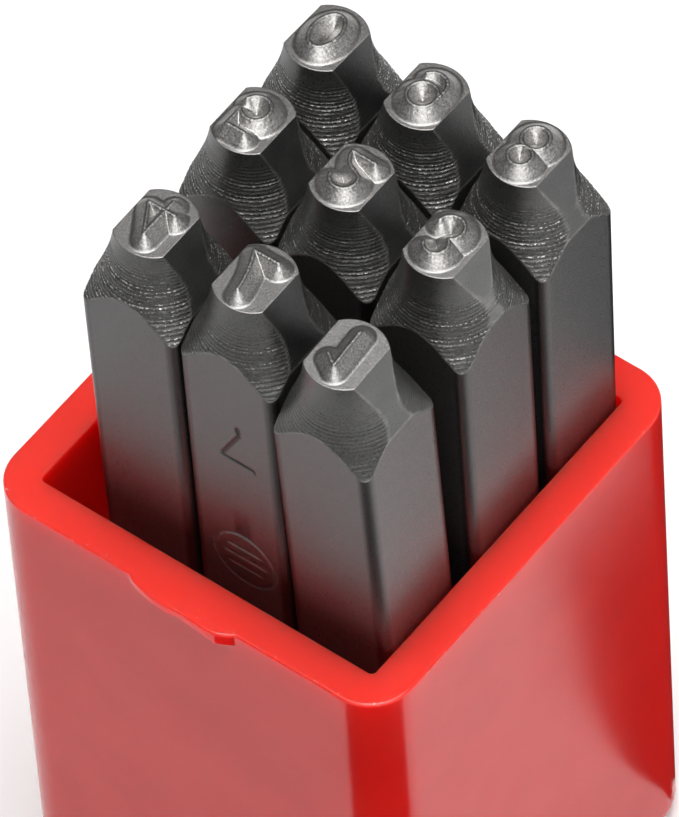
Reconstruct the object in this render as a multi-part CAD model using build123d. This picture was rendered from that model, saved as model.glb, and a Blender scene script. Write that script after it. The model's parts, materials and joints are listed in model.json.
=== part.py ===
from build123d import *
import os
from collections import namedtuple
from math import atan2, cos, degrees, radians, sin, sqrt, tan

os.makedirs("parts", exist_ok=True)

# Number punch set: nine square steel hand stamps standing in an open square box.
# Millimetres, +Z up. The origin is the centre of the underside of the box.
# X runs along the three columns of punches and Y along the three rows, front to back.

# Box
BOX_INSIDE = 22.6           # clear width between opposite walls
BOX_WALL = 2.25
BOX_FLOOR = 2.25
BOX_HEIGHT = 38.0
BOX_CORNER = 2.75           # radius of the four upright outer corners
BOX_INNER_CORNER = 0.3
BOX_FOOT_ROUND = 1.5        # radius round the underside
RIM_BREAK = 0.15            # tiny chamfer on both edges of the rim

# Catch lug on the front rim, where the lid snaps over
LUG_WIDTH = 7.0
LUG_CENTRE_X = 0.15
LUG_DEPTH = 0.6
LUG_THICKNESS = 0.7
LUG_END_RADIUS = 0.55

# Punch blank
SHANK = 6.35                # quarter-inch square bar
SHANK_CORNER = 0.6
PUNCH_LENGTH = 58.65        # struck end to numeral
END_CHAMFER = 0.5           # round the struck end

# Turned and milled tip, measured down from the ledge that carries the numeral
LEDGE_RADIUS = 2.33
COVE_RADIUS = 9.5           # hollow turned neck below the ledge
COVE_CENTRE_OUT = 11.81     # from the punch's axis to the centre of the cove's arc
COVE_CENTRE_UP = 0.53       # height of that centre above the ledge
COVE_END_RADIUS = 4.7       # the arc stops outside the corners of the shank
FLAT_HALF_WIDTH = 1.66      # half the distance between the two flats at the ledge
FLAT_DEPTH = 4.2            # the flats run out on the shank this far below the ledge

# Raised numeral: a ridge with sloping sides and a narrow blunt crest
NUMERAL_HEIGHT = 0.7
CREST_HALF_WIDTH = 0.05
SKIRT_HALF_WIDTH = 0.78     # half width of the ridge where it meets the ledge
ROOT = 0.4                  # how far the ridge is carried down into the blank

# How the punches stand
STANDING_GAP = 0.03         # between a struck end and the floor of the box

SAME_POINT = 0.02           # strokes that end closer than this share one rounded end
SPARE = 1.0                 # how far a cutting solid runs past what it cuts

# Each digit is drawn as it is read, u to the right and v up, from the middle of the ledge.
# ("line", u1, v1, u2, v2), or ("arc", centre u, centre v, radius, start angle, end angle)
ZERO_END_RADIUS = 0.6
ZERO_END_CENTRE = 0.65
ZERO_SIDE_RADIUS = 1.711
ZERO_SIDE_CENTRE = 0.901
ZERO_SPLIT = degrees(atan2(ZERO_END_CENTRE, ZERO_SIDE_CENTRE))

DIGITS = {
    "0": [
        ("arc", 0, ZERO_END_CENTRE, ZERO_END_RADIUS, ZERO_SPLIT, 180 - ZERO_SPLIT),
        ("arc", ZERO_SIDE_CENTRE, 0, ZERO_SIDE_RADIUS, 180 - ZERO_SPLIT, 180 + ZERO_SPLIT),
        ("arc", 0, -ZERO_END_CENTRE, ZERO_END_RADIUS, 180 + ZERO_SPLIT, 360 - ZERO_SPLIT),
        ("arc", -ZERO_SIDE_CENTRE, 0, ZERO_SIDE_RADIUS, -ZERO_SPLIT, ZERO_SPLIT),
    ],
    "1": [
        ("line", 0.06, -1.25, 0.15, 1.27),
        ("line", 0.15, 1.27, -0.58, 0.76),
    ],
    "2": [
        ("arc", -0.05, 0.58, 0.77, -35, 165),
        ("line", 0.58, 0.138, 0.061, -0.124),
        ("arc", 0.32, -1.09, 1.0, 105, 180),
        ("line", -0.68, -1.09, 0.80, -1.05),
    ],
    "3": [
        ("arc", -0.15, 0.62, 0.68, -50, 155),
        ("arc", -0.12, -0.65, 0.77, -170, 60),
    ],
    "4": [
        ("line", 0.20, 1.27, 0.22, -1.28),
        ("line", -0.89, -0.58, 0.79, -0.58),
        ("line", -0.89, -0.58, 0.20, 1.27),
    ],
    "5": [
        ("line", 0.40, 1.32, -0.74, 1.32),
        ("line", -0.74, 1.32, -0.72, 0.14),
        ("arc", -0.05, -0.38, 0.82, -160, 142),
    ],
    "6": [
        ("arc", -0.05, -0.42, 0.85, 0, 360),
        ("line", -0.90, -0.42, -0.90, 0.42),
        ("arc", -0.08, 0.42, 0.82, 35, 180),
    ],
    "7": [
        ("line", -0.71, 1.12, 0.86, 1.10),
        ("arc", 7.19, -2.39, 7.23, 151.0, 172.5),
    ],
    "8": [
        ("arc", 0, -0.64, 0.77, 0, 360),
        ("arc", 0, 0.75, 0.67, 0, 360),
    ],
}

# rim_x, rim_y: middle of the shank at rim level. lean_x, lean_y: lean towards +X and +Y, and
# turn: about its own axis, in degrees. back: the digit's top points to the back (+Y).
# short: how much shorter than the others. drop: how much lower its cove was turned.
Punch = namedtuple("Punch", "node digit rim_x rim_y lean_x lean_y turn back short drop")
PUNCHES = [
    Punch("punch_0", "0", -5.38, 8.00, 0.00, 0.85, -0.8, True, 0.0, 0.0),
    Punch("punch_6_9", "6", 1.35, 8.00, 0.00, 0.50, -0.2, True, 0.0, 0.0),
    Punch("punch_8", "8", 8.00, 8.00, 0.25, 0.50, 0.0, False, 0.0, 0.4),
    Punch("punch_5", "5", -5.17, 1.36, 0.00, 0.60, 0.8, False, 0.0, 0.0),
    Punch("punch_2", "2", 1.38, 1.42, 0.10, 0.30, 0.7, False, 0.0, 0.2),
    Punch("punch_3", "3", 8.00, 0.98, 0.35, -0.40, 1.0, False, 0.0, 0.6),
    Punch("punch_4", "4", -5.05, -6.75, -0.20, -0.20, 0.6, False, 0.0, 0.0),
    Punch("punch_7", "7", 1.42, -6.68, -0.15, -0.15, 0.4, True, 0.0, 0.0),
    Punch("punch_1", "1", 8.00, -6.90, 0.05, -2.00, 1.0, False, 0.6, 0.4),
]


def case_box():
    """The box: a square tube with a floor, rounded outside, with the lid's catch lug."""
    outside = BOX_INSIDE + 2 * BOX_WALL
    body = extrude(RectangleRounded(outside, outside, BOX_CORNER), BOX_HEIGHT)
    body = fillet(body.faces().sort_by(Axis.Z)[0].edges(), BOX_FOOT_ROUND)
    pocket = Pos(0, 0, BOX_FLOOR) * extrude(
        RectangleRounded(BOX_INSIDE, BOX_INSIDE, BOX_INNER_CORNER), BOX_HEIGHT
    )
    body = body - pocket
    body = chamfer(body.faces().sort_by(Axis.Z)[-1].edges(), RIM_BREAK)
    return body + catch_lug(outside)


def catch_lug(outside):
    """A thin bar along the top of the front wall, with rounded ends, flush with the rim."""
    inset = 2 * RIM_BREAK
    bar = Box(LUG_WIDTH, LUG_DEPTH + inset, LUG_THICKNESS)
    outer_corners = bar.edges().filter_by(Axis.Z).sort_by(Axis.Y)[:2]
    bar = fillet(outer_corners, LUG_END_RADIUS)
    centre_y = -outside / 2 + (inset - LUG_DEPTH) / 2
    centre_z = BOX_HEIGHT - LUG_THICKNESS / 2
    return Pos(LUG_CENTRE_X, centre_y, centre_z) * bar


def punch_blank(length, drop):
    """Square bar with a chamfered struck end, a turned cove and two milled flats."""
    ledge = length - NUMERAL_HEIGHT
    bar = extrude(RectangleRounded(SHANK, SHANK, SHANK_CORNER), ledge)
    bar = chamfer(bar.faces().sort_by(Axis.Z)[0].edges(), END_CHAMFER)
    return (bar & turned_envelope(ledge, drop)) - milled_flats(ledge)


def turned_envelope(ledge, drop):
    """What the lathe leaves: the hollow cove, and full width below it."""
    centre_height = ledge + COVE_CENTRE_UP - drop
    end_height = centre_height - sqrt(COVE_RADIUS**2 - (COVE_CENTRE_OUT - COVE_END_RADIUS) ** 2)
    middle_height = (ledge + end_height) / 2
    start = (cove_reach(centre_height - ledge), ledge)
    on_arc = (cove_reach(centre_height - middle_height), middle_height)
    end = (COVE_END_RADIUS, end_height)
    outline = (
        Polyline((0, ledge), start)
        + ThreePointArc(start, on_arc, end)
        + Polyline(end, (SHANK, end_height), (SHANK, -SPARE), (0, -SPARE), (0, ledge))
    )
    return revolve(Plane.XZ * make_face(outline), Axis.Z)


def cove_reach(below_centre):
    """Distance from the punch's axis to the cove at a depth below the arc's centre."""
    return COVE_CENTRE_OUT - sqrt(COVE_RADIUS**2 - below_centre**2)


def milled_flats(ledge):
    """Two wedges that taper the tip on the sides that face +X and -X."""
    slope = (SHANK / 2 - FLAT_HALF_WIDTH) / FLAT_DEPTH
    above = NUMERAL_HEIGHT + SPARE
    upper = (FLAT_HALF_WIDTH - slope * above, ledge + above)
    lower = (SHANK / 2 + slope * SPARE, ledge - FLAT_DEPTH - SPARE)
    profile = Polyline(upper, lower, (SHANK, lower[1]), (SHANK, upper[1]), upper)
    wedge = extrude(Plane.XZ * make_face(profile), SHANK, both=True)
    return wedge + mirror(wedge, Plane.YZ)


def ridge_half_profile(radius):
    """Section of a bent ridge: distance from the bend's centre against height above the ledge."""
    inner = radius - SKIRT_HALF_WIDTH
    slope = NUMERAL_HEIGHT / (SKIRT_HALF_WIDTH - CREST_HALF_WIDTH)
    points = []
    if inner > 0:
        points += [(inner, -ROOT), (inner, 0)]
    else:
        points += [(0, -ROOT), (0, -inner * slope)]
    points += [
        (radius - CREST_HALF_WIDTH, NUMERAL_HEIGHT),
        (radius + CREST_HALF_WIDTH, NUMERAL_HEIGHT),
        (radius + SKIRT_HALF_WIDTH, 0),
        (radius + SKIRT_HALF_WIDTH, -ROOT),
    ]
    return Polyline(*points, points[0])


def bent_ridge(centre_u, centre_v, radius, start, end):
    """Ridge whose crest is an arc."""
    face = Plane.XZ * make_face(ridge_half_profile(radius))
    solid = revolve(face, Axis.Z, end - start)
    return Pos(centre_u, centre_v, 0) * Rot(0, 0, start) * solid


def straight_ridge(u1, v1, u2, v2):
    """Ridge whose crest is a straight line."""
    run = sqrt((u2 - u1) ** 2 + (v2 - v1) ** 2)
    half = Polyline(
        (-SKIRT_HALF_WIDTH, -ROOT),
        (-SKIRT_HALF_WIDTH, 0),
        (-CREST_HALF_WIDTH, NUMERAL_HEIGHT),
        (CREST_HALF_WIDTH, NUMERAL_HEIGHT),
        (SKIRT_HALF_WIDTH, 0),
        (SKIRT_HALF_WIDTH, -ROOT),
        (-SKIRT_HALF_WIDTH, -ROOT),
    )
    bar = extrude(Plane.YZ * make_face(half), run)
    return Pos(u1, v1, 0) * Rot(0, 0, degrees(atan2(v2 - v1, u2 - u1))) * bar


def ridge_end(u, v):
    """Cone that closes the end of a ridge."""
    points = [
        (0, -ROOT),
        (0, NUMERAL_HEIGHT),
        (CREST_HALF_WIDTH, NUMERAL_HEIGHT),
        (SKIRT_HALF_WIDTH, 0),
        (SKIRT_HALF_WIDTH, -ROOT),
    ]
    face = Plane.XZ * make_face(Polyline(*points, points[0]))
    return Pos(u, v, 0) * revolve(face, Axis.Z)


def stroke_ends(stroke):
    """Both ends of a stroke, or nothing for a full ring."""
    if stroke[0] == "line":
        return [(stroke[1], stroke[2]), (stroke[3], stroke[4])]
    centre_u, centre_v, radius, start, end = stroke[1:]
    if end - start >= 360:
        return []
    return [
        (centre_u + radius * cos(radians(angle)), centre_v + radius * sin(radians(angle)))
        for angle in (start, end)
    ]


def numeral(digit):
    """The raised digit as it is read, on a ledge at height 0."""
    solids = []
    closed = []
    for stroke in DIGITS[digit]:
        make = straight_ridge if stroke[0] == "line" else bent_ridge
        solids.append(make(*stroke[1:]))
        for end in stroke_ends(stroke):
            if all(sqrt((end[0] - u) ** 2 + (end[1] - v) ** 2) > SAME_POINT for u, v in closed):
                closed.append(end)
                solids.append(ridge_end(*end))
    raised = solids[0]
    for solid in solids[1:]:
        raised = raised + solid
    return raised


def upright_punch(item):
    """One punch, upright on its struck end, with its digit mirrored as on every stamp."""
    length = PUNCH_LENGTH - item.short
    ledge = length - NUMERAL_HEIGHT
    raised = mirror(numeral(item.digit), Plane.YZ)
    if not item.back:
        raised = Rot(0, 0, 180) * raised
    raised = Pos(0, 0, ledge) * raised
    trim = Pos(0, 0, length - ROOT - NUMERAL_HEIGHT) * extrude(
        Circle(LEDGE_RADIUS), ROOT + NUMERAL_HEIGHT + SPARE
    )
    raised = (raised & trim) - milled_flats(ledge)
    return punch_blank(length, item.drop) + raised


def standing_place(item):
    """Where a punch's struck end is when it leans in the box, resting on its lowest edge."""
    foot_half = SHANK / 2 - END_CHAMFER
    tip_up = foot_half * (sin(radians(abs(item.lean_x))) + sin(radians(abs(item.lean_y))))
    foot_z = BOX_FLOOR + STANDING_GAP + tip_up
    depth = BOX_HEIGHT - foot_z
    foot_x = item.rim_x - depth * tan(radians(item.lean_x))
    foot_y = item.rim_y - depth * tan(radians(item.lean_y))
    return Pos(foot_x, foot_y, foot_z) * Rot(-item.lean_y, item.lean_x, 0) * Rot(0, 0, item.turn)


def write(solid, node):
    """One named STEP file for each node."""
    solid.label = node
    export_step(solid, f"parts/{node}.step")


write(case_box(), "case_box")
for item in PUNCHES:
    write(standing_place(item) * upright_punch(item), item.node)
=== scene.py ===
import json
import math

import bpy
import numpy as np
from mathutils import Matrix, Vector


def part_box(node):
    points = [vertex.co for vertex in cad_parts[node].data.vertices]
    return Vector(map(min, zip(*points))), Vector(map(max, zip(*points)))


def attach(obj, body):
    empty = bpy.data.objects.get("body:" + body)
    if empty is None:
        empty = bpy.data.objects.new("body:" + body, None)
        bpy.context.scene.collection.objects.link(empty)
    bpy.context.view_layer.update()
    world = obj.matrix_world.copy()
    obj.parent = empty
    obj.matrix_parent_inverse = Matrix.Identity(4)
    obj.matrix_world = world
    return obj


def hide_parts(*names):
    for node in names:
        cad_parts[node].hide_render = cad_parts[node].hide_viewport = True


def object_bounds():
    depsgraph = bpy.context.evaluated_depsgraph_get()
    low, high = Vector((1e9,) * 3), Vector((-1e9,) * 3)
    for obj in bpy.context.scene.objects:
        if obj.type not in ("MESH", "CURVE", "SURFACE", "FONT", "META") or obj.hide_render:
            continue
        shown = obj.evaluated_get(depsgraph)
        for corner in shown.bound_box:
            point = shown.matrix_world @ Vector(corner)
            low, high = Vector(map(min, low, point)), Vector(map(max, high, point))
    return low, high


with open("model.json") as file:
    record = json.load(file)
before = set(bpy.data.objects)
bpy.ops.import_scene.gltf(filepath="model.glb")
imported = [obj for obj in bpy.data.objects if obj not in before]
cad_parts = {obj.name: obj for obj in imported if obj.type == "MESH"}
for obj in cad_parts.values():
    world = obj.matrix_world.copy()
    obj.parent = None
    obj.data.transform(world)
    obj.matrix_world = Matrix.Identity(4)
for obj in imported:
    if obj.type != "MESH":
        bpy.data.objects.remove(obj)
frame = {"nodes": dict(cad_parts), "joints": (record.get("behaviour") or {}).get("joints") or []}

cad_low, cad_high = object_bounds()

# Everything below is in millimetres until a mesh is written, and the frame is in metres.
MM = 0.001

# The box
BOX_WALL = 2.25
BOX_FLOOR = 2.25
BOX_CORNER = 2.75
BOX_INNER_CORNER = 0.3
BOX_FOOT_ROUND = 1.5
RIM_BREAK = 0.15
FLOOR_FILLET = 0.5
LUG_LEFT, LUG_RIGHT = -3.35, 3.65
LUG_DEPTH = 0.6
LUG_THICKNESS = 0.7
LUG_SAG = 0.3               # how much lower the lug hangs at its right end
LUG_SAG_START, LUG_SAG_END = 1.2, 3.0   # where along the rim it comes down
LUG_WAVE = 0.12             # share of its depth by which the lug's face waves
LUG_LEFT_RUN = 1.6          # length of the curve at the lug's left end
LUG_RIGHT_RUN = 0.9         # length of the curve at its right end
LUG_ZONE = 1.0              # how far down from the rim the fine rings go
LUG_RING = 0.06             # height of a fine ring
RIM_WEAR = 0.35             # how far down from the rim the wear reaches
RIM_COLOUR = 0.25, 0.05     # how far down the rim's red starts, and is full: paler in its own right, and partly painted light from above

# The punches
SHANK = 6.35
SHANK_CORNER = 0.6
END_CHAMFER = 0.5
NUMERAL_HEIGHT = 0.7
COVE_RADIUS = 9.5
COVE_CENTRE_OUT = 11.81
COVE_CENTRE_UP = 0.53
FLAT_HALF_WIDTH = 1.66
FLAT_DEPTH = 4.2
CREST_HALF_WIDTH = 0.07
SKIRT_HALF_WIDTH = 0.78
RING_PITCH = 0.222          # of the turning marks
RING_DEPTH = 0.05
RING_AT_LEDGE = 0.2         # share of their depth next to the ledge
RING_START, RING_FULL = 0.6, 2.6    # how far below the ledge they start to deepen and stop
TEAR_DEPTH = 0.011          # spread of the small torn specks in the turned surface
COVE_DEPTH = 6.3            # how far below the ledge the fine rows go
ROW = 0.03                  # height of a fine row
MARK_ROW = 0.075            # height of a row where the shank is marked
AROUND = 240                # points round a punch
ACROSS = 64                 # steps from the middle of the ledge to its edge
EDGE_ROUND = 0.05           # round the ledge
CREST_ROUND = 0.06          # where a numeral's side meets its crest
BASE_ROUND = 0.10           # where it meets the ledge
COVE_ROUND = 0.05           # where the cove meets the shank
FLAT_ROUND = 0.03           # where a milled flat meets either
LOOK_BLEND = 0.02           # half the overlap in which one sort of surface becomes another
WORN_EDGE = 0.05, 0.01      # how near an edge its wear starts, and is full
CORNER_BAND = 0.15, 0.08    # how far from the diagonal, in radians, the painted shade on a shank's corners starts, and is full
GRAIN_WAVES = 24
GRAIN_LENGTHS = 0.12, 0.32  # shortest and longest wave of the stamped faces' grain
GRAIN_HEIGHT = 0.0012       # height of one wave

# Each digit is drawn as it is read, u to the right and v up, from the middle of the ledge.
ZERO_SPLIT = math.degrees(math.atan2(0.65, 0.901))
DIGITS = {
    "0": [
        ("arc", 0, 0.65, 0.6, ZERO_SPLIT, 180 - ZERO_SPLIT),
        ("arc", 0.901, 0, 1.711, 180 - ZERO_SPLIT, 180 + ZERO_SPLIT),
        ("arc", 0, -0.65, 0.6, 180 + ZERO_SPLIT, 360 - ZERO_SPLIT),
        ("arc", -0.901, 0, 1.711, -ZERO_SPLIT, ZERO_SPLIT),
    ],
    "1": [("line", 0.06, -1.25, 0.15, 1.27), ("line", 0.15, 1.27, -0.58, 0.76)],
    "2": [
        ("arc", -0.05, 0.58, 0.77, -35, 165),
        ("line", 0.58, 0.138, 0.061, -0.124),
        ("arc", 0.32, -1.09, 1.0, 105, 180),
        ("line", -0.68, -1.09, 0.80, -1.05),
    ],
    "3": [("arc", -0.15, 0.62, 0.68, -50, 155), ("arc", -0.12, -0.65, 0.77, -170, 60)],
    "4": [
        ("line", 0.20, 1.27, 0.22, -1.28),
        ("line", -0.89, -0.58, 0.79, -0.58),
        ("line", -0.89, -0.58, 0.20, 1.27),
    ],
    "5": [
        ("line", 0.40, 1.32, -0.74, 1.32),
        ("line", -0.74, 1.32, -0.72, 0.14),
        ("arc", -0.05, -0.38, 0.82, -160, 142),
    ],
    "6": [
        ("arc", -0.05, -0.42, 0.85, 0, 360),
        ("line", -0.90, -0.42, -0.90, 0.42),
        ("arc", -0.08, 0.42, 0.82, 35, 180),
    ],
    "7": [("line", -0.71, 1.12, 0.86, 1.10), ("arc", 7.19, -2.39, 7.23, 151.0, 172.5)],
    "8": [("arc", 0, -0.64, 0.77, 0, 360), ("arc", 0, 0.75, 0.67, 0, 360)],
}

# Node: digit, whether its top points to the back, how much lower its cove was turned, how
# strongly the turning shows, how light its milled flats are, partly finish and partly painted shade
PUNCHES = {
    "punch_0": ("0", True, 0.0, 1.05, 0.0),
    "punch_6_9": ("6", True, 0.0, 1.05, 0.1),
    "punch_8": ("8", False, 0.4, 0.95, 0.1),
    "punch_5": ("5", False, 0.0, 0.85, 0.1),
    "punch_2": ("2", False, 0.2, 0.75, 0.1),
    "punch_3": ("3", False, 0.6, 0.75, 0.5),
    "punch_4": ("4", False, 0.0, 1.0, 0.2),
    "punch_7": ("7", True, 0.0, 0.6, 0.0),
    "punch_1": ("1", False, 0.4, 0.4, 0.35),
}

# Strokes cut into a shank's front face, from its middle and up from the struck end, each with
# its half width and depth: a small 7, to be read with the digit downwards and filled with
# black, and a plain stamp whose strokes are mostly bare.
FILLED_MARKS = {
    "punch_7": [
        (0.17, 0.09, ("line", 0.55, 48.70, 0.60, 48.10)),
        (0.15, 0.08, ("line", 0.60, 48.10, -0.62, 45.90)),
        (0.12, 0.06, ("line", -0.66, 45.72, 1.42, 45.66)),
        (0.10, 0.05, ("line", 1.42, 45.66, 1.52, 45.42)),
    ],
}
BARE_MARKS = {
    "punch_7": [
        (0.13, 0.07, ("arc", 0.25, 36.90, 2.05, 0, 360)),
        (0.13, 0.07, ("line", -0.80, 37.75, 1.30, 37.75)),
        (0.13, 0.07, ("line", -1.05, 36.95, 1.55, 36.95)),
        (0.13, 0.07, ("line", -0.80, 36.15, 1.30, 36.15)),
    ],
}
MARKED_HEIGHTS = [(34.65, 39.15), (45.15, 49.05)]   # where the shank needs closer rows
FRONT = -0.75               # sine of the directions in which the front face lies
MARK_SHOWS = 0.03           # depth from which a stroke is fully filled or bare
BARE_SHADE = 0.35           # how much of the filling a bare stroke keeps


# ---------------------------------------------------------------- camera

VIEW_AZIMUTH, VIEW_ELEVATION, VIEW_ROLL = 40.71, 52.64, -4.389
VIEW_DISTANCE = 579.7
VIEW_ASIDE, VIEW_UP = 0.383, 1.649
SENSOR = 36.0
FOCAL_OVER_HEIGHT = 13.0783   # focal length over the height of the frame


def add_camera():
    """A long lens aimed near the middle of the rim."""
    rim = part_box("case_box")[1].z
    a, e, r = (math.radians(v) for v in (VIEW_AZIMUTH, VIEW_ELEVATION, VIEW_ROLL))
    back = Vector((math.sin(a) * math.cos(e), -math.cos(a) * math.cos(e), math.sin(e)))
    level = Vector((math.cos(a), math.sin(a), 0))
    upward = back.cross(level)
    right = level * math.cos(r) + upward * math.sin(r)
    up = upward * math.cos(r) - level * math.sin(r)
    data = bpy.data.cameras.new("camera")
    data.sensor_width = SENSOR
    data.lens = SENSOR * FOCAL_OVER_HEIGHT
    data.clip_start, data.clip_end = 0.01, 20
    camera = bpy.data.objects.new("camera", data)
    place = back * VIEW_DISTANCE + right * VIEW_ASIDE + up * VIEW_UP
    turn = Matrix((right, up, back)).transposed().to_4x4()
    camera.matrix_world = Matrix.Translation(Vector((0, 0, rim)) + place * MM) @ turn
    bpy.context.scene.collection.objects.link(camera)
    bpy.context.scene.camera = camera


# ---------------------------------------------------------------- meshes

def make_object(name, points, faces, attributes=(), smooth=True):
    """A mesh object from points in millimetres, with float attributes on its points."""
    mesh = bpy.data.meshes.new(name)
    mesh.from_pydata((np.asarray(points) * MM).tolist(), [], faces)
    for attribute, values in dict(attributes).items():
        layer = mesh.attributes.new(attribute, "FLOAT", "POINT")
        layer.data.foreach_set("value", np.asarray(values, np.float32))
    mesh.polygons.foreach_set("use_smooth", [smooth] * len(mesh.polygons))
    mesh.validate()
    thing = bpy.data.objects.new(name, mesh)
    bpy.context.scene.collection.objects.link(thing)
    return thing


def band_faces(rows, count):
    """Quads between successive closed rows of points, seen from outside."""
    faces = []
    for row in range(rows - 1):
        low, high = row * count, (row + 1) * count
        for i in range(count):
            j = (i + 1) % count
            faces.append((low + i, low + j, high + j, high + i))
    return faces


def smooth_min(a, b, width):
    """The lower of two values, rounded where they cross."""
    near = np.maximum(width - np.abs(a - b), 0) / width
    return np.minimum(a, b) - near * near * width / 4


def ramp(value, low, high):
    """Eases from 0 at low to 1 at high."""
    t = np.clip((value - low) / (high - low), 0, 1)
    return t * t * (3 - 2 * t)


# ---------------------------------------------------------------- punches

def rounded_square(angles, half, corner):
    """Reach of a rounded square in each direction."""
    a, b = np.abs(np.cos(angles)), np.abs(np.sin(angles))
    major, minor = np.maximum(a, b), np.minimum(a, b)
    side = half / major
    inset = half - corner
    along = inset * (major + minor)
    arc = along + np.sqrt(np.maximum(along**2 - 2 * inset**2 + corner**2, 0))
    return np.where(side * minor <= inset, side, arc)


def stroke_distance(stroke, u, v):
    """Distance from each point to the line or arc that a stroke follows."""
    if stroke[0] == "line":
        u1, v1, u2, v2 = stroke[1:]
        run = (u2 - u1) ** 2 + (v2 - v1) ** 2
        t = np.clip(((u - u1) * (u2 - u1) + (v - v1) * (v2 - v1)) / run, 0, 1)
        return np.hypot(u - u1 - t * (u2 - u1), v - v1 - t * (v2 - v1))
    centre_u, centre_v, radius, start, end = stroke[1:]
    du, dv = u - centre_u, v - centre_v
    turn = np.mod(np.degrees(np.arctan2(dv, du)) - start, 360)
    on_arc = np.abs(np.hypot(du, dv) - radius)
    ends = []
    for angle in (math.radians(start), math.radians(end)):
        ends.append(np.hypot(du - radius * math.cos(angle), dv - radius * math.sin(angle)))
    return np.where(turn <= end - start, on_arc, np.minimum(*ends))


def grain(x, y, seed):
    """The uneven skin of a stamped face, as a sum of short waves in all directions."""
    random = np.random.default_rng(seed)
    total = np.zeros(x.shape)
    for _ in range(GRAIN_WAVES):
        direction, start = random.uniform(0, 2 * math.pi, 2)
        turns = 2 * math.pi / random.uniform(*GRAIN_LENGTHS)
        along = x * math.cos(direction) + y * math.sin(direction)
        total = total + GRAIN_HEIGHT * np.sin(turns * along + start)
    return total


def numeral_height(digit, to_back, x, y, seed):
    """Height of the raised, mirrored digit above the ledge."""
    side = 1 if to_back else -1
    distance = np.full(x.shape, 9.0)
    for stroke in DIGITS[digit]:
        distance = np.minimum(distance, stroke_distance(stroke, -x * side, y * side))
    slope = NUMERAL_HEIGHT / (SKIRT_HALF_WIDTH - CREST_HALF_WIDTH)
    height = NUMERAL_HEIGHT - slope * (distance - CREST_HALF_WIDTH)
    height = smooth_min(height, np.full(x.shape, NUMERAL_HEIGHT), CREST_ROUND)
    height = -smooth_min(-height, np.zeros(x.shape), BASE_ROUND)
    roughened = 0.25 + 0.75 * np.clip(height / NUMERAL_HEIGHT, 0, 1)
    height = np.minimum(height + roughened * grain(x, y, seed), NUMERAL_HEIGHT)
    flat_slope = FLAT_DEPTH / (SHANK / 2 - FLAT_HALF_WIDTH)
    return np.minimum(height, np.maximum(FLAT_HALF_WIDTH - np.abs(x), 0) * flat_slope)


def ring_profile(depth, angles, drop, strength, seed):
    """How deep the turning marks are cut, as round grooves on a helix, and their crests."""
    random = np.random.default_rng(seed)
    phase = depth / RING_PITCH + angles / (2 * math.pi)
    groove = np.abs(np.sin(math.pi * phase))
    uneven = 0.75 + 0.25 * np.sin(depth * 7 + random.uniform(0, 6))
    for waves in (3, 7, 11):
        uneven = uneven + 0.08 * np.sin(waves * angles + depth * 9 + random.uniform(0, 6))
    fade = ramp(depth, RING_START + drop, RING_FULL + drop)
    fade = RING_AT_LEDGE + (1 - RING_AT_LEDGE) * fade
    crest = np.clip(1 - groove, 0, 1) * np.clip(uneven, 0, 1.3) * fade * strength
    torn = np.random.default_rng([seed, int(1000 * depth[0])]).normal(0, TEAR_DEPTH, AROUND)
    return (RING_DEPTH * groove * uneven + torn) * fade * strength, crest


def mark_cut(strokes, across, height):
    """How deep a shank's front face is cut at each point."""
    cut = np.zeros(across.shape)
    for half_width, depth, stroke in strokes:
        share = 1 - stroke_distance(stroke, across, height) / half_width
        cut = np.maximum(cut, depth * np.sqrt(np.clip(share, 0, 1)))
    return cut


def punch_reach(depth, angles, drop, strength, seed):
    """Distance from the axis to the surface, and how far each sort of surface shows there."""
    below = np.clip(depth + COVE_CENTRE_UP - drop, 0, 0.99 * COVE_RADIUS)
    cove = COVE_CENTRE_OUT - np.sqrt(COVE_RADIUS**2 - below**2)
    rings, crest = ring_profile(depth, angles, drop, strength, seed)
    cove = cove - rings
    slope = (SHANK / 2 - FLAT_HALF_WIDTH) / FLAT_DEPTH
    flat = (FLAT_HALF_WIDTH + slope * depth) / np.maximum(np.abs(np.cos(angles)), 1e-3)
    shank = rounded_square(angles, SHANK / 2, SHANK_CORNER) + 0 * depth
    reach = smooth_min(smooth_min(cove, shank, COVE_ROUND), flat, FLAT_ROUND)
    in_cove = ramp(np.minimum(shank, flat) - cove, -LOOK_BLEND, LOOK_BLEND)
    in_flat = ramp(np.minimum(shank, cove) - flat, -LOOK_BLEND, LOOK_BLEND)
    diagonal = np.abs(np.mod(angles, math.pi / 2) - math.pi / 4)
    in_corner_shade = ramp(-diagonal, -CORNER_BAND[0], -CORNER_BAND[1]) * (1 - in_cove) * (1 - in_flat)
    nearest, next_nearest, _ = np.sort([shank, flat, cove], axis=0)
    in_edge = ramp(nearest - next_nearest, -WORN_EDGE[0], -WORN_EDGE[1])
    return reach, {
        "cove": in_cove, "flat": in_flat, "crest": crest * in_cove, "corner": in_corner_shade,
        "edge": in_edge,
    }


def punch_frame(node):
    """Foot, side directions and axis of a punch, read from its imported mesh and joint."""
    joint = next(j for j in frame["joints"] if j["child"] == node + "_body")
    axis = Vector(joint["axis"]).normalized()
    points = np.array([v.co for v in frame["nodes"][node].data.vertices]) / MM
    along = points @ np.array(axis)
    foot = points[along < along.min() + 0.02]
    centre = (foot.min(0) + foot.max(0)) / 2
    centre = centre + np.array(axis) * (along.min() - centre @ np.array(axis))
    out = foot - centre
    level = Vector((0, 1, 0)).cross(axis).normalized()
    other = axis.cross(level)
    angles = np.arctan2(out @ np.array(other), out @ np.array(level))
    far = np.linalg.norm(out, axis=1)
    corners = angles[far > far.max() - 0.03]
    turn = np.mod(corners, math.pi / 2) - math.pi / 4
    turn = float(turn.mean())
    side = level * math.cos(turn) + other * math.sin(turn)
    return centre, np.array(side), np.array(axis.cross(side)), np.array(axis), float(np.ptp(along))


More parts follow.
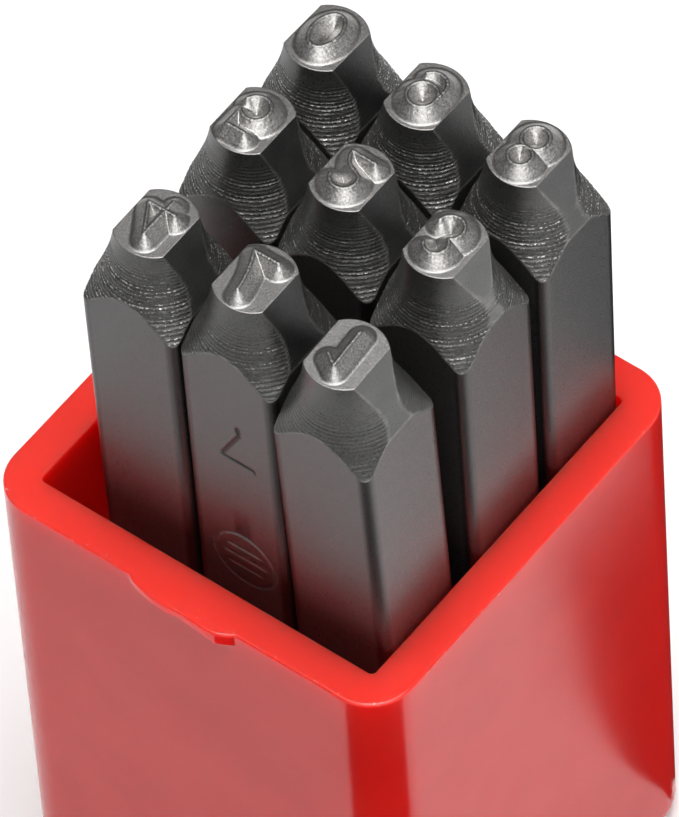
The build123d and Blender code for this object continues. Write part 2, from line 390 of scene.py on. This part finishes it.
def punch_heights(node, length):
    """Heights of the rows above the struck end: few up a plain shank and many up the cove."""
    ledge = length - NUMERAL_HEIGHT
    chamfer = np.linspace(0, END_CHAMFER, 4)
    shank = np.linspace(END_CHAMFER, ledge - COVE_DEPTH, 16)[1:]
    cove = np.linspace(ledge - COVE_DEPTH, ledge - EDGE_ROUND, int(COVE_DEPTH / ROW))[1:]
    marked = [np.arange(low, high, MARK_ROW) for low, high in MARKED_HEIGHTS if node in BARE_MARKS]
    return np.unique(np.concatenate([chamfer, shank, cove, *marked]))


def foot_rows(angles):
    """Rows of reach and height from the middle of the struck end to its edge."""
    corner = SHANK_CORNER - END_CHAMFER
    foot = rounded_square(angles, SHANK / 2 - END_CHAMFER, corner)
    return [(foot * share, np.zeros(AROUND), {}) for share in (0.02, 0.35, 0.7, 0.95)]


def side_rows(node, length, angles, seed):
    """Rows up the chamfer, the shank and the cove, each with what shows there."""
    drop, strength = PUNCHES[node][2:4]
    rows = []
    for height in punch_heights(node, length):
        level = np.full(AROUND, height)
        if height < END_CHAMFER:
            cut = END_CHAMFER - height
            rows.append((rounded_square(angles, SHANK / 2 - cut, SHANK_CORNER - cut), level, {}))
            continue
        depth = np.full(AROUND, length - NUMERAL_HEIGHT - height)
        reach, look = punch_reach(depth, angles, drop, strength, seed)
        on_front = np.sin(angles) < FRONT
        across = reach * np.cos(angles)
        filled = mark_cut(FILLED_MARKS.get(node, []), across, height) * on_front
        bare = mark_cut(BARE_MARKS.get(node, []), across, height) * on_front
        look["marked"] = np.minimum(filled / MARK_SHOWS + BARE_SHADE * (bare > 0), 1)
        look["edge"] = np.maximum(look["edge"], np.minimum(bare / MARK_SHOWS, 1))
        rows.append((reach - filled - bare, level, look))
    return rows


def top_rows(node, edge, ledge, angles, seed):
    """Rows over the ledge's rounded edge and in across the numeral."""
    digit, to_back = PUNCHES[node][:2]
    rows = []
    for step in np.linspace(0, 90, 5)[1:]:
        reach = edge - EDGE_ROUND * (1 - math.cos(math.radians(step)))
        height = ledge - EDGE_ROUND * (1 - math.sin(math.radians(step)))
        rows.append((reach, np.full(AROUND, height), {"face": np.ones(AROUND)}))
    edge = rows[-1][0]
    for share in np.linspace(1, 0, ACROSS + 1)[1:-1]:
        x, y = edge * share * np.cos(angles), edge * share * np.sin(angles)
        raised = numeral_height(digit, to_back, x, y, seed)
        look = {"face": np.ones(AROUND), "raised": np.clip(raised / NUMERAL_HEIGHT, 0, 1)}
        rows.append((edge * share, ledge + raised, look))
    return rows


def make_punch(node, seed):
    """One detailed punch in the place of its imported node."""
    digit, to_back, _, _, lightness = PUNCHES[node]
    centre, side, other, axis, length = punch_frame(node)
    ledge = length - NUMERAL_HEIGHT
    angles = np.arange(AROUND) * 2 * math.pi / AROUND
    rows = foot_rows(angles) + side_rows(node, length, angles, seed)
    rows += top_rows(node, rows[-1][0], ledge, angles, seed)

    points = []
    for reach, height, _ in rows:
        local = np.outer(reach * np.cos(angles), side) + np.outer(reach * np.sin(angles), other)
        points.append(centre + local + np.outer(height, axis))
    faces = band_faces(len(rows), AROUND)
    points = np.concatenate(points)
    count = len(points)
    middle = numeral_height(digit, to_back, np.zeros(1), np.zeros(1), seed)[0]
    points = np.vstack([points, centre, centre + (ledge + middle) * axis])
    for i in range(AROUND):
        j = (i + 1) % AROUND
        faces.append((count, j, i))
        faces.append((count + 1, count - AROUND + i, count - AROUND + j))
    attributes = {"lightness": np.full(len(points), lightness)}
    for name in ("cove", "flat", "crest", "corner", "edge", "marked", "face", "raised"):
        values = [look.get(name, np.zeros(AROUND)) for _, _, look in rows]
        attributes[name] = np.append(np.concatenate(values), (0, name == "face"))
    thing = make_object(node + "_steel", points, faces, attributes)
    thing.data.materials.append(STEEL)
    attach(thing, node + "_body")
    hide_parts(node)


# ---------------------------------------------------------------- box

# Places along a side of the box, from -1 to 1, closer together at the lug's right end
SIDE_SHARES = np.concatenate([
    np.linspace(-1, 0.25, 56)[:-1], np.linspace(0.25, 0.345, 22)[:-1],
    np.linspace(0.345, 1, 30)[:-1],
])


def square_ring(half, corner, corner_steps=12):
    """Points round a rounded square, the same number on every ring."""
    inset = half - corner
    points = []
    for quarter in range(4):
        turn = math.pi / 2 * quarter
        ring = [(inset * share, -half) for share in SIDE_SHARES]
        for i in range(corner_steps):
            angle = -math.pi / 2 + math.pi / 2 * i / corner_steps
            ring.append((inset + corner * math.cos(angle), -inset + corner * math.sin(angle)))
        cosine, sine = math.cos(turn), math.sin(turn)
        points += [(x * cosine - y * sine, x * sine + y * cosine) for x, y in ring]
    return np.array(points)


def lug_share(x, z, height):
    """1 on the lug and 0 beside it: its left end curves in and its right end is blunter."""
    left = np.sqrt(np.clip((x - LUG_LEFT) / LUG_LEFT_RUN, 0, 1))
    right = np.clip((LUG_RIGHT - x) / LUG_RIGHT_RUN, 0, 1) ** 0.7
    wavy = 1 - LUG_WAVE * (0.5 + 0.5 * np.sin(x * 2.3 + 0.5)) * (x > LUG_LEFT)
    bottom = height - LUG_THICKNESS - LUG_SAG * ramp(x, LUG_SAG_START, LUG_SAG_END)
    under = ramp(z, bottom - 0.02, bottom + 0.1)
    return left * right * wavy * under


def box_profile(height, half):
    """Rings from the middle of the underside, up the outside, over the rim and down inside."""
    inner = half - BOX_WALL
    rings = [(half * share, 0.0, BOX_CORNER * share) for share in (0.02, 0.5, 0.85)]
    for step in np.linspace(0, 90, 9):
        back = BOX_FOOT_ROUND * (1 - math.sin(math.radians(step)))
        up = BOX_FOOT_ROUND * (1 - math.cos(math.radians(step)))
        rings.append((half - back, up, BOX_CORNER - back))
    for z in np.linspace(BOX_FOOT_ROUND, height - 1.2, 26)[1:]:
        rings.append((half, z, BOX_CORNER))
    for z in np.arange(height - LUG_ZONE, height - RIM_BREAK - 0.01, LUG_RING):
        rings.append((half, z, BOX_CORNER))
    for step in np.linspace(0, 90, 6):
        back = RIM_BREAK * (1 - math.cos(math.radians(step)))
        up = RIM_BREAK * (1 - math.sin(math.radians(step)))
        rings.append((half - back, height - up, BOX_CORNER - back))
    for share in (0.2, 0.4, 0.6, 0.8):
        reach = half - BOX_WALL * share
        rings.append((reach, height, BOX_CORNER + (BOX_INNER_CORNER - BOX_CORNER) * share))
    for step in np.linspace(90, 0, 6):
        back = RIM_BREAK * (1 - math.cos(math.radians(step)))
        up = RIM_BREAK * (1 - math.sin(math.radians(step)))
        rings.append((inner + back, height - up, BOX_INNER_CORNER + back))
    for z in np.linspace(height - 0.6, BOX_FLOOR + FLOOR_FILLET, 20):
        rings.append((inner, z, BOX_INNER_CORNER))
    for step in np.linspace(0, 90, 6)[1:]:
        back = FLOOR_FILLET * (1 - math.cos(math.radians(step)))
        z = BOX_FLOOR + FLOOR_FILLET * (1 - math.sin(math.radians(step)))
        rings.append((inner - back, z, max(BOX_INNER_CORNER - back, 0.02)))
    for share in (0.8, 0.4, 0.02):
        rings.append((inner * share, BOX_FLOOR, 0.02))
    return rings


def make_box():
    """The moulded box with its catch lug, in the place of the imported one."""
    low, high = (np.array(corner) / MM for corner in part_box("case_box"))
    height, half = high[2], high[0]
    rings = box_profile(height, half)
    points, wear, rim, inside = [], [], [], []
    for reach, z, corner in rings:
        outline = square_ring(reach, corner)
        x, y = outline[:, 0], outline[:, 1].copy()
        on_front = (y < -half + 0.4) & (np.abs(x) < half - BOX_CORNER)
        y = y - LUG_DEPTH * lug_share(x, z, height) * on_front
        points.append(np.column_stack([x, y, np.full(len(x), z)]))
        outer_edge = reach > half - 0.3
        worn = ramp(z, height - RIM_WEAR, height) if outer_edge else 0.0
        wear.append(np.full(len(x), worn))
        # where the rim's red shows, partly painted light, and where the inside's painted-light red
        # shows
        rim.append(np.full(len(x), ramp(z, height - RIM_COLOUR[0], height - RIM_COLOUR[1])))
        inside.append(np.full(len(x), float(reach < half - BOX_WALL + 0.2 and z > 1)))
    count = len(points[0])
    faces = band_faces(len(points), count)
    points = np.concatenate(points)
    total = len(points)
    points = np.vstack([points, (0, 0, 0), (0, 0, BOX_FLOOR)])
    for i in range(count):
        j = (i + 1) % count
        faces.append((total, j, i))
        faces.append((total + 1, total - count + i, total - count + j))
    attributes = {
        "wear": np.append(wear, (0, 0)),
        "rim": np.append(rim, (0, 0)),
        "inside": np.append(inside, (0, 1)),
    }
    thing = make_object("case_shell", points, faces, attributes)
    thing.data.materials.append(PLASTIC)
    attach(thing, "case")
    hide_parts("case_box")


# ---------------------------------------------------------------- materials

class Nodes:
    """A short way to write a material's nodes."""

    def __init__(self, name):
        self.material = bpy.data.materials.new(name)
        self.material.use_nodes = True
        self.tree = self.material.node_tree
        self.shader = self.tree.nodes["Principled BSDF"]
        self.position = self.add("ShaderNodeTexCoord").outputs["Object"]

    def add(self, kind, **settings):
        node = self.tree.nodes.new(kind)
        for name, value in settings.items():
            setattr(node, name, value)
        return node

    def join(self, value, socket):
        if isinstance(value, bpy.types.NodeSocket):
            self.tree.links.new(value, socket)
        else:
            socket.default_value = value

    def noise(self, scale, detail=3.0, rough=0.5):
        node = self.add("ShaderNodeTexNoise")
        self.join(self.position, node.inputs["Vector"])
        node.inputs["Scale"].default_value = scale
        node.inputs["Detail"].default_value = detail
        node.inputs["Roughness"].default_value = rough
        return node.outputs["Fac"]

    def attribute(self, name):
        return self.add("ShaderNodeAttribute", attribute_name=name).outputs["Fac"]

    def fit(self, value, low, high, to_low, to_high):
        node = self.add("ShaderNodeMapRange")
        for socket, number in zip(node.inputs[:5], (value, low, high, to_low, to_high)):
            self.join(number, socket)
        return node.outputs["Result"]

    def maths(self, operation, a, b):
        node = self.add("ShaderNodeMath", operation=operation)
        self.join(a, node.inputs[0])
        self.join(b, node.inputs[1])
        return node.outputs[0]

    def mix(self, share, a, b):
        node = self.add("ShaderNodeMix", data_type="RGBA")
        for socket, value in zip((node.inputs[0], node.inputs[6], node.inputs[7]), (share, a, b)):
            self.join(value, socket)
        return node.outputs[2]

    def bump(self, height, distance):
        node = self.add("ShaderNodeBump")
        node.inputs["Distance"].default_value = distance
        self.join(height, node.inputs["Height"])
        return node.outputs["Normal"]


# Colours, each one or from its darker to its lighter end
RED_WALL = (0.64, 0.010, 0.008, 1), (0.70, 0.014, 0.010, 1)
# The inside's and the rim's reds are lighter than the walls' as painted light; the rim's is also
# paler in its own right.
RED_INSIDE_PAINTED_LIGHT = (0.99, 0.016, 0.012, 1)
RED_RIM_PALE_AND_PAINTED_LIGHT = (0.99, 0.043, 0.031, 1)
RED_WORN = (0.95, 0.45, 0.42, 1)
STEEL_OXIDE = (0.012, 0.012, 0.012, 1), (0.048, 0.046, 0.044, 1)
STEEL_PATCH = (0.050, 0.045, 0.043, 1)
STEEL_TURNED = (0.032, 0.031, 0.03, 1), (0.085, 0.083, 0.08, 1)
STEEL_DARK_FLAT = (0.008, 0.008, 0.008, 1), (0.02, 0.02, 0.019, 1)
STEEL_LIGHT_FLAT = (0.10, 0.10, 0.096, 1), (0.15, 0.15, 0.143, 1)
STEEL_LEDGE = (0.17, 0.165, 0.16, 1), (0.27, 0.262, 0.255, 1)
STEEL_STRUCK = (0.20, 0.193, 0.187, 1), (0.54, 0.524, 0.508, 1)
STEEL_CREST_PAINTED_SHADE = (0.10, 0.097, 0.094, 1)
STEEL_CORNER_PAINTED_SHADE = (0.055, 0.052, 0.052, 1)
STEEL_BARE = (0.66, 0.65, 0.63, 1)
STEEL_EDGE = (0.30, 0.29, 0.28, 1)
STEEL_MARKED = (0.012, 0.011, 0.011, 1)
PAPER = (0.72, 0.72, 0.72, 1), (0.74, 0.74, 0.74, 1)


def plastic_material():
    """Glossy red moulded plastic that light soaks through, with pale wear on the rim's edge, and
    painted light that makes the rim and the inside a lighter red than the walls.
    """
    n = Nodes("case_plastic")
    n.shader.inputs["IOR"].default_value = 1.41
    n.shader.inputs["Subsurface Weight"].default_value = 1.0
    n.shader.inputs["Subsurface Radius"].default_value = (1.0, 0.07, 0.05)
    n.shader.inputs["Subsurface Scale"].default_value = 0.0042
    cloud = n.fit(n.noise(180, 4), 0.3, 0.7, 0.0, 1.0)
    base = n.mix(cloud, *RED_WALL)
    # painted light: a lighter red inside the box and on its rim
    base = n.mix(n.attribute("inside"), base, RED_INSIDE_PAINTED_LIGHT)
    base = n.mix(n.attribute("rim"), base, RED_RIM_PALE_AND_PAINTED_LIGHT)
    scuff = n.fit(n.noise(2600, 5, 0.7), 0.60, 0.74, 0.0, 1.0)
    patch = n.fit(n.noise(260, 2), 0.45, 0.62, 0.0, 1.0)
    worn = n.maths("MULTIPLY", n.attribute("wear"), n.maths("MULTIPLY", scuff, patch))
    n.join(n.mix(worn, base, RED_WORN), n.shader.inputs["Base Color"])
    n.join(n.fit(n.noise(900, 4), 0.3, 0.7, 0.16, 0.20), n.shader.inputs["Roughness"])
    n.join(n.bump(n.noise(5000, 3), 0.0000006), n.shader.inputs["Normal"])
    return n.material


def steel_material():
    """Blackened tool steel: dark on the shank, and bare where it was ground and stamped, with
    painted shade on the shank's corners and the numerals' crests.
    """
    n = Nodes("tool_steel")
    cove, flat, face = (n.attribute(name) for name in ("cove", "flat", "face"))
    crest, corner, marked = (n.attribute(name) for name in ("crest", "corner", "marked"))
    edge = n.maths("MULTIPLY", n.attribute("edge"), n.fit(n.noise(1500, 3), 0.35, 0.65, 0.2, 1.0))
    speck = n.fit(n.noise(9000, 4, 0.7), 0.35, 0.68, 0.0, 1.0)
    patch = n.fit(n.noise(500, 4), 0.3, 0.7, 0.0, 1.0)
    oxide = n.mix(speck, *STEEL_OXIDE)
    oxide = n.mix(n.maths("MULTIPLY", patch, 0.25), oxide, STEEL_PATCH)
    turned = n.mix(speck, *STEEL_TURNED)
    dark_flat = n.mix(patch, *STEEL_DARK_FLAT)
    light_flat = n.mix(patch, *STEEL_LIGHT_FLAT)
    # milled flats lighter or darker by punch: partly their finish, partly painted shade from the
    # punches beside them
    milled = n.mix(n.attribute("lightness"), dark_flat, light_flat)
    ledge = n.mix(speck, *STEEL_LEDGE)
    struck = n.mix(speck, *STEEL_STRUCK)
    raised = n.attribute("raised")
    ground = n.mix(n.fit(raised, 0.02, 0.3, 0.0, 1.0), ledge, struck)
    # painted shade on the numeral's crest, dimming the highlight the lights put there
    ground = n.mix(n.fit(raised, 0.86, 0.97, 0.0, 0.75), ground, STEEL_CREST_PAINTED_SHADE)
    broken = n.fit(n.noise(7000, 3), 0.47, 0.58, 0.0, 1.0)
    bare = n.fit(n.maths("MULTIPLY", crest, broken), 0.30, 0.75, 0.0, 1.0)
    # painted shade on the shank's rounded corners
    colour = n.mix(corner, oxide, STEEL_CORNER_PAINTED_SHADE)
    colour = n.mix(cove, colour, turned)
    colour = n.mix(bare, colour, STEEL_BARE)
    colour = n.mix(flat, colour, milled)
    colour = n.mix(n.maths("MULTIPLY", edge, 0.6), colour, STEEL_EDGE)
    colour = n.mix(marked, colour, STEEL_MARKED)
    colour = n.mix(face, colour, ground)
    n.join(colour, n.shader.inputs["Base Color"])
    n.shader.inputs["IOR"].default_value = 1.72
    metal = n.maths("MAXIMUM", n.fit(face, 0.0, 1.0, 0.15, 0.95), n.maths("MULTIPLY", cove, 0.4))
    metal = n.maths("MAXIMUM", metal, n.maths("MULTIPLY", n.maths("MAXIMUM", bare, corner), 0.9))
    metal = n.maths("MAXIMUM", metal, n.maths("MULTIPLY", n.maths("MAXIMUM", edge, marked), 0.85))
    n.join(metal, n.shader.inputs["Metallic"])
    rough = n.fit(n.noise(9000, 4, 0.7), 0.3, 0.7, 0.24, 0.40)
    n.join(n.maths("ADD", rough, n.maths("MULTIPLY", face, 0.09)), n.shader.inputs["Roughness"])
    n.join(n.bump(n.noise(12000, 3, 0.7), 0.000013), n.shader.inputs["Normal"])
    return n.material


# ---------------------------------------------------------------- floor and light

FLOOR_SIZE = 1500.0
FLOOR_BELOW = 0.02          # how far the floor lies under the box
# Two patches of the floor show in no reflection, so that reflections show the dim room there as
# painted shade:
# behind the right side, and round the front right corner. Each outline runs anticlockwise, in
# millimetres.
SHADE_BEHIND = [
    (-14.0, 160.0), (-14.0, 16.0), (13.6, 14.0), (13.6, 12.6), (17.5, 12.8), (19.5, 13.5),
    (23.5, 16.2), (30.0, 22.5), (31.5, 31.5), (48.0, 41.0), (70.0, 60.0), (70.0, 160.0),
]
SHADE_FRONT = [
    (24.0, -50.0), (40.0, -50.0), (45.6, -34.0), (45.6, -1.5), (13.9, -10.0), (13.0, -13.0),
    (9.45, -13.7), (-3.2, -40.7), (14.0, -50.0),
]
# The floor glows a little more towards the right, a painted pool of light: two ramps, from and to
# in metres along that way, and the strengths there.
GLOW_TOWARDS = (0.8, 0.6, 0.0)
GLOW = -0.045, 0.045, 0.04, 0.32
POOL = 0.030, 0.045, 0.0, 0.30


def floor_material():
    """Overexposed white paper that glows a little more towards the right, as painted light."""
    n = Nodes("floor")
    paper = n.fit(n.noise(60, 4), 0.3, 0.7, 0.0, 1.0)
    n.join(n.mix(paper, *PAPER), n.shader.inputs["Base Color"])
    n.shader.inputs["Roughness"].default_value = 0.9
    n.shader.inputs["Specular IOR Level"].default_value = 0.1
    n.shader.inputs["Emission Color"].default_value = (1, 1, 1, 1)
    across = n.add("ShaderNodeVectorMath", operation="DOT_PRODUCT")
    n.join(n.position, across.inputs[0])
    n.join(GLOW_TOWARDS, across.inputs[1])
    glow = n.fit(across.outputs["Value"], *GLOW)
    pool = n.fit(across.outputs["Value"], *POOL)
    # painted light: the floor's glow, stronger towards the right
    n.join(n.maths("ADD", glow, pool), n.shader.inputs["Emission Strength"])
    return n.material


def add_floor():
    """A pale floor, with a slit from its edge to each patch, and the patches as sheets."""
    material = floor_material()
    reach = FLOOR_SIZE
    outline = [(-reach, -reach), (SHADE_FRONT[0][0], -reach), SHADE_FRONT[0]]
    outline += SHADE_FRONT[:0:-1] + [SHADE_FRONT[0], (SHADE_FRONT[0][0], -reach)]
    outline += [(reach, -reach), (reach, reach), (SHADE_BEHIND[0][0], reach), SHADE_BEHIND[0]]
    outline += SHADE_BEHIND[:0:-1] + [SHADE_BEHIND[0], (SHADE_BEHIND[0][0], reach), (-reach, reach)]
    sheets = {"floor": outline, "floor_behind": SHADE_BEHIND, "floor_front": SHADE_FRONT}
    for name, points in sheets.items():
        points = [(x, y, 0) for x, y in points]
        sheet = make_object(name, points, [tuple(range(len(points)))], smooth=False)
        sheet.location.z = -FLOOR_BELOW * MM
        sheet.data.materials.append(material)
        # painted shade: the patch sheets are hidden from reflections
        sheet.visible_glossy = name == "floor"


# Name, direction from the middle of the set, distance, size, power, and whether it lights
# surfaces as well as shining in them
LIGHTS = [
    ("overhead", (0.06, -0.04, 1.00), 0.60, 0.42, 5.6, True),
    ("beside_camera", (0.453, -0.527, 0.719), 0.60, 0.42, 2.0, False),
    ("right_panel", (0.775, 0.46, 0.425), 0.60, 0.60, 0.32, False),
]
ROOM_BELOW, ROOM_ABOVE = 0.03, 0.09     # strength of the room under and over the horizon
HORIZON = 0.02                          # half height of the change between them


def add_light(name, direction, distance, size, power, lights_surfaces):
    """A square softbox that faces the middle of the set."""
    data = bpy.data.lights.new(name, "AREA")
    data.shape = "SQUARE"
    data.size = size
    data.energy = power
    lamp = bpy.data.objects.new(name, data)
    towards = Vector(direction).normalized()
    middle = (cad_low + cad_high) / 2
    lamp.matrix_world = Matrix.Translation(middle + towards * distance) @ (
        towards.to_track_quat("Z", "Y").to_matrix().to_4x4()
    )
    lamp.visible_camera = False
    lamp.visible_diffuse = lights_surfaces
    bpy.context.scene.collection.objects.link(lamp)


def add_world():
    """A dim room with a white surround behind the set."""
    world = bpy.data.worlds.new("studio")
    world.use_nodes = True
    tree = world.node_tree
    background = tree.nodes["Background"]
    place = tree.nodes.new("ShaderNodeTexCoord")
    split = tree.nodes.new("ShaderNodeSeparateXYZ")
    level = tree.nodes.new("ShaderNodeMapRange")
    level.inputs["From Min"].default_value = -HORIZON
    level.inputs["From Max"].default_value = HORIZON
    level.inputs["To Min"].default_value = ROOM_BELOW
    level.inputs["To Max"].default_value = ROOM_ABOVE
    rays = tree.nodes.new("ShaderNodeLightPath")
    seen = tree.nodes.new("ShaderNodeMix")
    seen.inputs["B"].default_value = 1.0
    tree.links.new(place.outputs["Generated"], split.inputs[0])
    tree.links.new(split.outputs["Z"], level.inputs["Value"])
    tree.links.new(rays.outputs["Is Camera Ray"], seen.inputs["Factor"])
    tree.links.new(level.outputs["Result"], seen.inputs["A"])
    tree.links.new(seen.outputs["Result"], background.inputs["Strength"])
    background.inputs["Color"].default_value = (1, 1, 1, 1)
    bpy.context.scene.world = world


add_camera()
add_world()
bpy.context.scene.view_settings.view_transform = "Standard"
for light in LIGHTS:
    add_light(*light)
add_floor()

PLASTIC = plastic_material()
STEEL = steel_material()
make_box()
for number, node in enumerate(PUNCHES):
    make_punch(node, number + 1)

bpy.context.view_layer.update()
